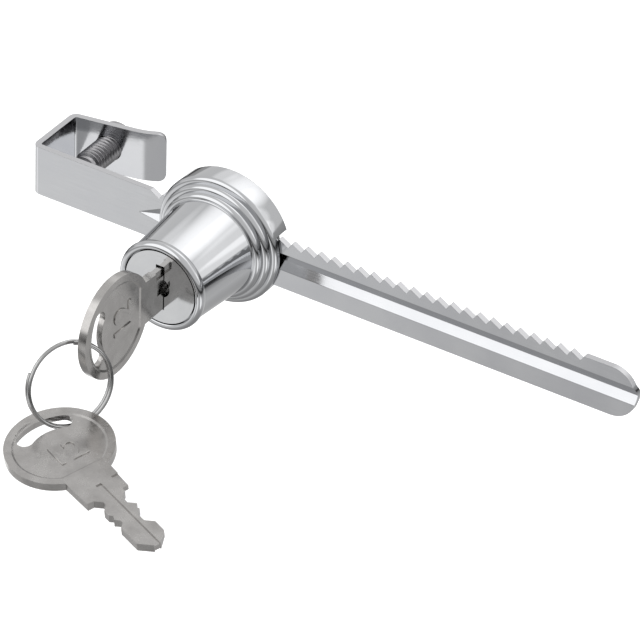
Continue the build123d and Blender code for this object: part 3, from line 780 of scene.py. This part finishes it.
@dataclass
class LockBody:
    """The turned and beaded housing that slides on the bar."""

    facets: int = 160
    bore_radius_mm: float = 6.55
    head_bore_mm: float = 8.92
    # The bar's channel: from front to back, half its height, and past the body on both sides
    channel_y_mm: tuple[float, float] = (-1.55, 3.6)
    channel_half_mm: float = 6.2
    channel_reach_mm: float = 20.0
    # The pawl's pocket: from front to back, and its room beside, under and over the pawl
    pocket_y_mm: tuple[float, float] = (-2.7, 1.25)
    pocket_side_mm: float = 0.15
    pocket_below_mm: float = 1.75
    pocket_above_mm: float = 2.5
    # The crossed grooves that the wafers spring into
    groove_reach_mm: float = 7.4
    groove_y_mm: tuple[float, float] = (-22.05, -4.1)
    groove_side_mm: float = 0.12

    def outline(self) -> list[tuple[float, float]]:
        """Lay out the housing's closed section, with its rounded rim and beads.

        Returns:
            Places along Y and radii, in millimetres, from the bore round the outside to the back.
        """
        corners = [
            # the clip's recess, the plug's bore and the wider bore of its head
            (-2.7, 0.02),
            (-2.7, 7.9),
            (-3.7, 7.9),
            (-3.7, self.bore_radius_mm),
            (-22.0, self.bore_radius_mm),
            (-22.0, self.head_bore_mm),
            (-24.6, self.head_bore_mm),
            # the front rim, and the barrel that widens towards the back
            (-24.6, 10.5),
            (-23.4, 10.5),
            (-22.4, 10.15),
            (-6.0, 11.2),
            # the two beads and the cap
            (-6.0, 12.45),
            (-4.5, 12.45),
            (-4.5, 13.7),
            (-3.05, 13.7),
            (-3.05, 15.0),
            (2.6, 15.0),
            # the cover's seat
            (2.6, 12.5),
            (1.2, 12.5),
            (1.2, 0.02),
        ]
        radii = {6: 0.35, 7: 1.05, 9: 0.6, 10: 0.3, 11: 0.95, 13: 0.95, 15: 0.95, 16: 0.3, 17: 0.08}
        return rounded(corners, radii)

    def build(self) -> None:
        """Turn the housing, mill its channel, pocket and wafer grooves, and plate it."""
        body = lathe(self.outline(), self.facets)
        low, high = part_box("pawl")
        side = self.pocket_side_mm * MM
        front, back = (place * MM for place in self.pocket_y_mm)
        pocket_low = Vector((low.x - side, front, low.z - self.pocket_below_mm * MM))
        pocket_high = Vector((high.x + side, back, high.z + self.pocket_above_mm * MM))
        reach, half = self.channel_reach_mm * MM, self.channel_half_mm * MM
        front, back = (place * MM for place in self.channel_y_mm)
        channel_low = Vector((LOCK_X - reach, front, -half))
        channel_high = Vector((LOCK_X + reach, back, half))
        low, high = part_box("wafer_1")
        wide = (high.x - low.x) / 2 + self.groove_side_mm * MM
        long = self.groove_reach_mm * MM
        front, back = (place * MM for place in self.groove_y_mm)
        cuts = [(channel_low, channel_high), (pocket_low, pocket_high)]
        for half_x, half_z in ((wide, long), (long, wide)):
            cuts.append(
                (
                    Vector((LOCK_X - half_x, front, LOCK_Z - half_z)),
                    Vector((LOCK_X + half_x, back, LOCK_Z + half_z)),
                )
            )
        for corner_a, corner_b in cuts:
            deselect()
            bpy.ops.mesh.primitive_cube_add(size=1, location=(corner_a + corner_b) / 2)
            cutter = bpy.context.object
            cutter.scale = corner_b - corner_a
            settle(cutter)
            apply_modifier(body, "BOOLEAN", object=cutter, operation="DIFFERENCE", solver="EXACT")
            bpy.data.objects.remove(cutter)
        smooth(body, degrees=42.0)
        dress(
            body, "lock_housing_shell", CHROMED_CASTING.build(), "lock",
            ["lock_housing"],
        )


@dataclass
class Cylinder:
    """The plug, its pins and clip, its wafers and their springs."""

    edge_mm: float = 0.1

    def build(self) -> None:
        """Ease the plug's edges and finish the hidden pieces."""
        plug = solid_copy("plug")
        ease(plug, self.edge_mm)
        dress(plug, "plug_turned", CHROMED_PLUG.build(), "cylinder", ["plug"])
        finishes = {
            HARDENED_STEEL: ("drive_pin", "stop_pin", "pawl"),
            DRAWN_WIRE: ("plug_clip", "pawl_spring", "wafer_springs_up", "wafer_springs_down"),
            STAMPED_BRASS: tuple(f"wafer_{number}" for number in range(1, 6)),
            SATIN_STEEL: ("rear_cover",),
            TURNED_SCREW: ("cover_screws",),
        }
        for finish, nodes in finishes.items():
            material = finish.build()
            for node in nodes:
                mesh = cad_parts[node].data
                mesh.materials.clear()
                mesh.materials.append(material)
                log.info("%s: finished in %s", node, finish.name)


@dataclass
class Key:
    """A stamped key: eased edges, and a raised number on each face of its bow.

    Its origin is the middle of the bow, along runs from there down the blade, and across runs
    over the width of the blade.
    """

    node: str
    body: str
    origin: Point
    along: Point
    across: Point
    thickness_mm: float = 1.9
    edge_mm: float = 0.12
    # The number: how high it stands, its height over the font's size, and its place on the bow
    digits: str = "12"
    raised_mm: float = 0.2
    digit_height_mm: float = 6.0
    digit_share: float = 0.7
    digit_edge_mm: float = 0.07
    digit_sink_mm: float = 0.02
    digit_place_mm: float = 2.6
    # The recessed field: its depth, where the edge of its floor begins, and how far that draws in
    field_mm: float = 0.25
    field_pick_mm: float = 0.02
    edge_reach_mm: float = 9.7
    draft: float = 0.955

    def digits_mesh(self, side: Side) -> bpy.types.Object:
        """Raise the number from the recessed field.

        Args:
            side: The face that it stands on.

        Returns:
            The number's mesh, in place.
        """
        deselect()
        bpy.ops.object.text_add()
        text = bpy.context.object
        text.data.body = self.digits
        text.data.size = self.digit_height_mm * MM / self.digit_share
        text.data.align_x = "CENTER"
        text.data.align_y = "CENTER"
        text.data.extrude = self.raised_mm * MM / 2
        text.data.bevel_depth = self.digit_edge_mm * MM
        text.data.resolution_u = 3
        bpy.ops.object.convert(target="MESH")
        along, across = Vector(self.along), Vector(self.across)
        normal = along.cross(across) * side.value
        up = along * -1.0
        right = up.cross(normal)
        floor_mm = self.thickness_mm / 2 - self.field_mm
        level = (floor_mm + self.raised_mm / 2 - self.digit_sink_mm) * MM
        place = Matrix((right, up, normal)).transposed().to_4x4()
        shift = normal * level + along * self.digit_place_mm * MM
        place.translation = Vector(self.origin) + shift
        text.matrix_world = place
        settle(text)
        return text

    def slope_field(self, key: bpy.types.Object, side: Side) -> None:
        """Draw in the floor of a recessed field, so that its wall slopes as a stamped one does.

        Args:
            key: The key's mesh object.
            side: The face that the field is in.
        """
        normal = Vector(self.along).cross(Vector(self.across)) * side.value
        middle = Vector(self.origin) + normal * (self.thickness_mm / 2 - self.field_mm) * MM

        def on_floor_edge(place: Vector) -> bool:
            """Say whether a place is on the edge of the field's floor."""
            step = (place - middle) / MM
            return abs(step.dot(normal)) < self.field_pick_mm and step.length > self.edge_reach_mm

        choose(key, on_floor_edge)
        with editing(key, everything=False):
            bpy.ops.transform.resize(value=(self.draft,) * 3, center_override=middle)

    def build(self, material: bpy.types.Material) -> None:
        """Ease the key's edges, raise its numbers, and plate it.

        Args:
            material: The keys' shared finish.
        """
        key = solid_copy(self.node)
        for side in Side:
            self.slope_field(key, side)
        ease(key, self.edge_mm)
        dress(key, f"{self.node}_stamped", material, self.body, [self.node])
        for side in Side:
            digits = self.digits_mesh(side)
            name = f"{self.node}_digits_{side.name.lower()}"
            dress(digits, name, material, self.body)


@dataclass
class SplitRing:
    """Two flat turns of round wire with a rise between them, cut square at the ends."""

    centre_mm: Point = (37.56, -54.46, -7.75)
    normal: Point = (0.8315, -0.5106, 0.2189)
    start: Point = (-0.5498, -0.7003, 0.4552)
    radius_mm: float = 9.35
    wire_mm: float = 0.9
    pitch_mm: float = 0.95
    flat_angle: float = 288.0
    facets_round: int = 16
    facets_along: int = 120

    def stretch(
        self, first: float, turn: float, level_mm: float, rise_mm: float
    ) -> bpy.types.Object:
        """Wind one stretch of the wire about Z.

        Args:
            first: Angle at which it starts, in degrees.
            turn: Angle that it goes on for, in degrees.
            level_mm: Its height at the start.
            rise_mm: How far it rises on the way.

        Returns:
            The open tube.
        """
        deselect()
        angle = math.radians(first)
        bpy.ops.mesh.primitive_circle_add(
            vertices=self.facets_round,
            radius=self.wire_mm * MM / 2,
            fill_type="NOTHING",
            location=(
                self.radius_mm * MM * math.cos(angle),
                self.radius_mm * MM * math.sin(angle),
                level_mm * MM,
            ),
            rotation=(math.pi / 2, 0, angle),
        )
        tube = bpy.context.object
        settle(tube)
        steps = round(self.facets_along * turn / 360)
        apply_modifier(
            tube,
            "SCREW",
            axis="Z",
            angle=math.radians(turn),
            screw_offset=rise_mm * MM,
            steps=steps,
            render_steps=steps,
        )
        return tube

    def build(self) -> None:
        """Wind the three stretches, join them, and stand the ring through the keys."""
        level = self.pitch_mm / 2
        rise_angle = 360 - self.flat_angle
        ring = self.stretch(0.0, self.flat_angle, -level, 0.0)
        others = (
            self.stretch(self.flat_angle, rise_angle, -level, self.pitch_mm),
            self.stretch(0.0, self.flat_angle, level, 0.0),
        )
        activate(ring)
        for other in others:
            other.select_set(True)
        bpy.ops.object.join()
        with editing(ring):
            bpy.ops.mesh.remove_doubles(threshold=TUBE_WELD)
            bpy.ops.mesh.select_all(action="DESELECT")
            bpy.ops.mesh.select_non_manifold()
            bpy.ops.mesh.fill_holes(sides=self.facets_round)
            bpy.ops.mesh.select_all(action="SELECT")
            bpy.ops.mesh.normals_make_consistent(inside=False)
        z_axis = Vector(self.normal).normalized()
        x_axis = (Vector(self.start) - z_axis * z_axis.dot(Vector(self.start))).normalized()
        turn = Matrix((x_axis, z_axis.cross(x_axis), z_axis)).transposed()
        ring.matrix_world = Matrix.Translation(Vector(self.centre_mm) * MM) @ turn.to_4x4()
        settle(ring)
        smooth(ring, degrees=50.0)
        dress(ring, "key_ring_wire", POLISHED_WIRE.build(), "ring", ["key_ring"])


# Studio


@dataclass(frozen=True)
class Panel:
    """A soft bright patch of the studio's surround, as polished metal mirrors it.

    It is full within the inner angle from its direction and gone past the outer one, both in
    degrees. Its gain is added to the surround's level, and nothing of it lies below the height
    given, where -1 is straight down.
    """

    name: str
    direction: Point
    inner: float
    outer: float
    gain: float
    above: float = -1.0


@dataclass(frozen=True)
class Lamp:
    """A soft rectangular lamp: its place and its width and height in metres, and its watts."""

    name: str
    place: Point
    size: tuple[float, float]
    power: float


@dataclass
class Studio:
    """The pale floor, the soft lamps, and the camera at the photograph's angle."""

    # The spare key hangs 16.5 mm lower when the lock key is turned, so the floor lies below that.
    floor_drop_mm: float = 17.0
    floor_size: float = 6.0
    floor_middle: tuple[float, float] = (0.05, 0.0)
    floor_colour: str = "f4f4f4"
    floor_glow: float = 0.35
    even_light: float = 0.80
    lamp_target: Point = (0.045, -0.01, 0.0)
    lamps: tuple[Lamp, ...] = (
        Lamp("overhead box", (0.1, 0.5, 1.1), (1.2, 0.8), 6.0),
        Lamp("front box", (-0.35, -0.75, 0.8), (0.8, 0.8), 3.0),
    )
    # Fitted to the photograph: the camera's axes, a place on the bar behind the lock, the
    # camera's distance from it, the scale there, and the pixel where that place is seen
    view_back: Point = (0.45464, -0.69656, 0.55508)
    view_right: Point = (0.83136, 0.55550, 0.01617)
    view_up: Point = (-0.31961, 0.45412, 0.83164)
    aim_from: Point = (0.039, -0.0014, 0.0)
    distance: float = 1.67693
    pixels_per_metre: float = 4724.55
    principal: tuple[float, float] = (217.93, 239.74)
    frame_pixels: float = 640.0
    sensor_mm: float = 36.0
    # Brightness of the surround by a direction's height, from straight down to straight up:
    # the lit floor, the dark line of the horizon, the wall and the ceiling
    levels: tuple[tuple[float, float], ...] = (
        (-1.0, 0.33), (-0.8, 0.45), (-0.62, 0.66), (-0.45, 0.62), (-0.33, 0.38), (-0.25, 0.05),
        (-0.20, 0.06), (-0.13, 0.36), (0.03, 0.46), (0.07, 0.80), (0.6, 0.80), (1.0, 0.90),
    )
    cut_blend: float = 0.01
    panels: tuple[Panel, ...] = (
        Panel("overhead box behind", (0.056, 0.640, 0.766), 4.0, 29.0, 0.90),
        Panel("overhead box, right end", (0.360, 0.550, 0.750), 3.0, 20.0, 0.40),
        Panel("strip light behind", (-0.450, 0.700, 0.555), 7.0, 12.0, 0.30),
        Panel("wall on the right", (0.830, 0.500, 0.200), 10.0, 13.0, 0.42, 0.05),
        Panel("wall high on the right", (0.760, 0.380, 0.500), 17.0, 21.0, 0.38),
        Panel("lit floor behind", (-0.600, 0.530, -0.600), 16.0, 20.0, 0.60),
        Panel("lit floor, far left", (-0.800, -0.300, -0.520), 8.0, 12.0, 0.35),
        Panel("box in front, overhead", (-0.420, -0.720, 0.550), 28.0, 34.0, 0.90),
        Panel("lit floor on the left", (-0.800, -0.500, -0.330), 25.6, 28.8, 0.36),
        Panel("lit floor in front", (-0.120, -0.830, -0.540), 9.0, 13.0, 0.60),
        Panel("lit floor on the right", (0.730, -0.360, -0.560), 10.0, 16.0, 0.95),
    )

    def camera(self) -> None:
        """Set up the camera that the photograph was taken with."""
        data = bpy.data.cameras.new("camera")
        camera = bpy.data.objects.new("camera", data)
        bpy.context.scene.collection.objects.link(camera)
        focal_pixels = self.pixels_per_metre * self.distance
        data.sensor_width = self.sensor_mm
        data.lens = focal_pixels / self.frame_pixels * data.sensor_width
        data.clip_start = 0.1
        data.clip_end = 20.0
        back, right, up = Vector(self.view_back), Vector(self.view_right), Vector(self.view_up)
        start = Vector(self.aim_from)
        place = start + back * self.distance
        middle = self.frame_pixels / 2
        aim = (
            start
            + right * (middle - self.principal[0]) / self.pixels_per_metre
            - up * (middle - self.principal[1]) / self.pixels_per_metre
        )
        z_axis = (place - aim).normalized()
        x_axis = up.cross(z_axis).normalized()
        y_axis = z_axis.cross(x_axis)
        turn = Matrix((x_axis, y_axis, z_axis)).transposed()
        camera.matrix_world = Matrix.Translation(place) @ turn.to_4x4()
        bpy.context.scene.camera = camera

    def floor(self) -> None:
        """Lay the pale floor below the lowest point that any piece reaches as the lock moves."""
        deselect()
        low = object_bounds()[0]
        height = low[2] - self.floor_drop_mm * MM
        bpy.ops.mesh.primitive_plane_add(
            size=self.floor_size, location=(*self.floor_middle, height)
        )
        plane = bpy.context.object
        plane.name = "floor"
        # Matte white paper, which glows a little so that it comes out as white as the background
        material = bpy.data.materials.new("matte white paper")
        material.use_nodes = True
        tree = material.node_tree
        tree.nodes.clear()
        paper = add_node(
            tree,
            "ShaderNodeBsdfPrincipled",
            {
                "Base Color": linear(self.floor_colour),
                "Roughness": 0.9,
                "Specular IOR Level": 0.1,
                "Emission Color": (1.0, 1.0, 1.0, 1.0),
                "Emission Strength": self.floor_glow,
            },
        ).outputs[0]
        add_node(tree, "ShaderNodeOutputMaterial", {"Surface": paper})
        plane.data.materials.append(material)
        plane.visible_glossy = False
        plane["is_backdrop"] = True

    def hang(self, lamp: Lamp) -> None:
        """Hang one soft lamp, facing the lock. The metal mirrors the surround and not the lamp.

        Args:
            lamp: The lamp.
        """
        light = bpy.data.lights.new(lamp.name, "AREA")
        light.shape = "RECTANGLE"
        light.size, light.size_y = lamp.size
        light.energy = lamp.power
        fitting = bpy.data.objects.new(lamp.name, light)
        fitting.visible_glossy = False
        bpy.context.scene.collection.objects.link(fitting)
        aim = Vector(self.lamp_target) - Vector(lamp.place)
        fitting.location = lamp.place
        fitting.rotation_euler = aim.to_track_quat("-Z", "Y").to_euler()

    def surround(self, tree: bpy.types.NodeTree) -> bpy.types.NodeSocket:
        """Lay out the studio that the metal mirrors: floor, dark horizon, walls and soft boxes.

        Args:
            tree: The world's node tree.

        Returns:
            The brightness in each direction, where 1 is white.
        """
        direction = add_node(tree, "ShaderNodeTexCoord").outputs["Generated"]
        height = add_node(tree, "ShaderNodeSeparateXYZ", {0: direction}).outputs[2]
        place = add_node(
            tree, "ShaderNodeMapRange", {"Value": height, "From Min": -1.0, "From Max": 1.0}
        ).outputs[0]
        stops = [((z + 1) / 2, (level, level, level, 1.0)) for z, level in self.levels]
        total = ramp(tree, place, stops)
        for panel in self.panels:
            middle = Vector(panel.direction).normalized()
            nearness = add_node(
                tree,
                "ShaderNodeVectorMath",
                {0: direction, 1: middle},
                {"operation": "DOT_PRODUCT"},
            ).outputs["Value"]
            patch = add_node(
                tree,
                "ShaderNodeMapRange",
                {
                    "Value": nearness,
                    "From Min": math.cos(math.radians(panel.outer)),
                    "From Max": math.cos(math.radians(panel.inner)),
                    "To Min": 0.0,
                    "To Max": panel.gain,
                },
            ).outputs[0]
            if panel.above > -1.0:
                cut = add_node(
                    tree,
                    "ShaderNodeMapRange",
                    {
                        "Value": height,
                        "From Min": panel.above - self.cut_blend,
                        "From Max": panel.above + self.cut_blend,
                    },
                ).outputs[0]
                patch = add_node(
                    tree, "ShaderNodeMath", {0: patch, 1: cut}, {"operation": "MULTIPLY"}
                ).outputs[0]
            total = add_node(
                tree, "ShaderNodeMath", {0: total, 1: patch}, {"operation": "ADD"}
            ).outputs[0]
        return total

    def world(self) -> None:
        """Give a white background, an even light, and the studio that the metal mirrors."""
        world = bpy.data.worlds.new("studio")
        world.use_nodes = True
        tree = world.node_tree
        tree.nodes.clear()
        path = add_node(tree, "ShaderNodeLightPath")
        seen = add_node(
            tree,
            "ShaderNodeMath",
            {0: path.outputs["Is Camera Ray"], 1: path.outputs["Is Transmission Ray"]},
            {"operation": "MAXIMUM"},
        ).outputs[0]
        plain = add_node(
            tree,
            "ShaderNodeMapRange",
            {"Value": seen, "To Min": self.even_light, "To Max": 1.0},
        ).outputs[0]
        strength = add_node(
            tree,
            "ShaderNodeMapRange",
            {
                "Value": path.outputs["Is Glossy Ray"],
                "To Min": plain,
                "To Max": self.surround(tree),
            },
        ).outputs[0]
        light = add_node(
            tree, "ShaderNodeBackground", {"Color": (1.0, 1.0, 1.0, 1.0), "Strength": strength}
        ).outputs[0]
        add_node(tree, "ShaderNodeOutputWorld", {"Surface": light})
        bpy.context.scene.world = world

    def build(self) -> None:
        """Set up the camera, the floor, the lamps and the surround."""
        self.camera()
        self.floor()
        for lamp in self.lamps:
            self.hang(lamp)
        self.world()
        bpy.context.scene.view_settings.view_transform = "Standard"


def main() -> None:
    """Build every sub-assembly, then the studio."""
    logging.basicConfig(level=logging.INFO, format="%(name)s: %(message)s")
    RatchetBar().build()
    ClampScrew().build()
    LockBody().build()
    Cylinder().build()
    nickel = TUMBLED_NICKEL.build()
    lock_key = Key(
        node="lock_key",
        body="key",
        origin=(LOCK_X, -41.65 * MM, LOCK_Z),
        along=(0.0, 1.0, 0.0),
        across=(0.0, 0.0, 1.0),
    )
    lock_key.build(nickel)
    spare_key = Key(
        node="spare_key",
        body="spare",
        origin=(42.19 * MM, -64.6 * MM, -16.32 * MM),
        along=(0.91885, -0.39041, -0.05748),
        across=(0.39458, 0.90690, 0.14782),
    )
    spare_key.build(nickel)
    SplitRing().build()
    Studio().build()


if __name__ == "__main__":
    main()
